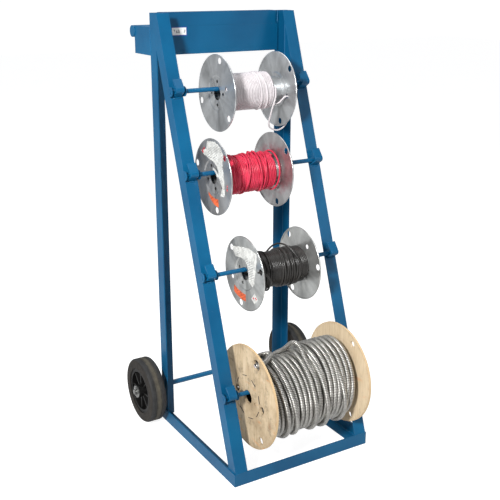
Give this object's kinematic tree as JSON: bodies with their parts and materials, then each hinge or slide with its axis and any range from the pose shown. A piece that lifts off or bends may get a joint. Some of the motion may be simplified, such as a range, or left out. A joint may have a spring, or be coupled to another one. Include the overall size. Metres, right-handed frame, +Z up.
{
  "type": "wire-reel cart",
  "caption": "Welded angle-iron cart on two rear wheels with lift-out rods in strap hooks, carrying steel wire spools and a plywood reel of armoured cable.",
  "frame": {"origin": "floor level, at the middle of the bounding box in X and Y", "axes": "+Z up, +X along the rods and the axle towards the cart's right side as seen from the front, -Y towards the front, where the rods are lifted out"},
  "size_m": [0.628, 0.6858, 1.252],
  "materials": {
    "blue_paint": "satin blue enamel over welded steel",
    "galvanised_sheet": "bright galvanised sheet",
    "zinc_steel": "zinc plated steel",
    "tyre_rubber": "dusty black rubber",
    "hub_plastic": "moulded black plastic",
    "plywood": "bare plywood",
    "fibre_drum": "spiral-wound fibre tube",
    "cable_armour": "interlocked metal armour",
    "white_wire": "glossy insulation",
    "red_wire": "glossy insulation",
    "black_wire": "glossy insulation",
    "paper_label": "printed paper without lettering"
  },
  "bodies": {
    "frame": {"base_front_rail": "blue_paint", "base_left_rail": "blue_paint", "base_right_rail": "blue_paint", "rear_left_upright": "blue_paint", "rear_right_upright": "blue_paint", "front_left_upright": "blue_paint", "front_right_upright": "blue_paint", "top_cross_member": "blue_paint", "cross_panel": "blue_paint", "frame_label": "paper_label", "handle_left_arm": "blue_paint", "handle_right_arm": "blue_paint", "handle_tube": "blue_paint", "handle_end_caps": "blue_paint", "bottom_rod_hooks": "blue_paint", "lower_rod_hooks": "blue_paint", "upper_rod_hooks": "blue_paint", "top_rod_hooks": "blue_paint", "axle_brackets": "blue_paint", "axle": "zinc_steel", "axle_spacers": "zinc_steel", "axle_washers": "zinc_steel", "cotter_pins": "zinc_steel"},
    "left_wheel": {"left_tyre": "tyre_rubber", "left_hub": "hub_plastic", "left_bushing": "zinc_steel"},
    "right_wheel": {"right_tyre": "tyre_rubber", "right_hub": "hub_plastic", "right_bushing": "zinc_steel"},
    "bottom_rod": {"bottom_rod": "blue_paint", "bottom_rod_collars": "blue_paint"},
    "lower_rod": {"lower_rod": "blue_paint", "lower_rod_collars": "blue_paint"},
    "upper_rod": {"upper_rod": "blue_paint", "upper_rod_collars": "blue_paint"},
    "top_rod": {"top_rod": "blue_paint", "top_rod_collars": "blue_paint"},
    "white_spool": {"white_left_flange": "galvanised_sheet", "white_right_flange": "galvanised_sheet", "white_drum": "galvanised_sheet", "white_winding": "white_wire", "white_wire_loop": "white_wire"},
    "red_spool": {"red_left_flange": "galvanised_sheet", "red_right_flange": "galvanised_sheet", "red_drum": "galvanised_sheet", "red_winding": "red_wire", "red_labels": "paper_label"},
    "black_spool": {"black_left_flange": "galvanised_sheet", "black_right_flange": "galvanised_sheet", "black_drum": "galvanised_sheet", "black_winding": "black_wire", "black_labels": "paper_label", "black_wire_tail": "black_wire"},
    "cable_reel": {"reel_left_flange": "plywood", "reel_right_flange": "plywood", "reel_drum": "fibre_drum", "reel_cable": "cable_armour", "reel_staples": "zinc_steel"}
  },
  "joints": [
    {"name": "left_wheel_spin", "type": "hinge", "parent": "frame", "child": "left_wheel", "pos_m": [-0.272, 0.228, 0.1016], "axis": [1, 0, 0], "continuous": true},
    {"name": "right_wheel_spin", "type": "hinge", "parent": "frame", "child": "right_wheel", "pos_m": [0.272, 0.228, 0.1016], "axis": [1, 0, 0], "continuous": true},
    {"name": "bottom_rod_lift", "type": "slide", "parent": "frame", "child": "bottom_rod", "axis": [0, 0.3277, 0.9448], "range_m": [0, 0.045]},
    {"name": "lower_rod_lift", "type": "slide", "parent": "frame", "child": "lower_rod", "axis": [0, 0.3277, 0.9448], "range_m": [0, 0.045]},
    {"name": "upper_rod_lift", "type": "slide", "parent": "frame", "child": "upper_rod", "axis": [0, 0.3277, 0.9448], "range_m": [0, 0.014]},
    {"name": "top_rod_lift", "type": "slide", "parent": "frame", "child": "top_rod", "axis": [0, 0.3277, 0.9448], "range_m": [0, 0.045]},
    {"name": "white_spool_spin", "type": "hinge", "parent": "top_rod", "child": "white_spool", "pos_m": [0.0166, 0.08585, 1.03455], "axis": [1, 0, 0], "continuous": true},
    {"name": "red_spool_spin", "type": "hinge", "parent": "upper_rod", "child": "red_spool", "pos_m": [-0.04085, 0.00993, 0.81565], "axis": [1, 0, 0], "continuous": true},
    {"name": "black_spool_spin", "type": "hinge", "parent": "lower_rod", "child": "black_spool", "pos_m": [0.00035, -0.08215, 0.55016], "axis": [1, 0, 0], "continuous": true},
    {"name": "cable_reel_spin", "type": "hinge", "parent": "bottom_rod", "child": "cable_reel", "pos_m": [0.00995, -0.1929, 0.22987], "axis": [1, 0, 0], "continuous": true}
  ]
}
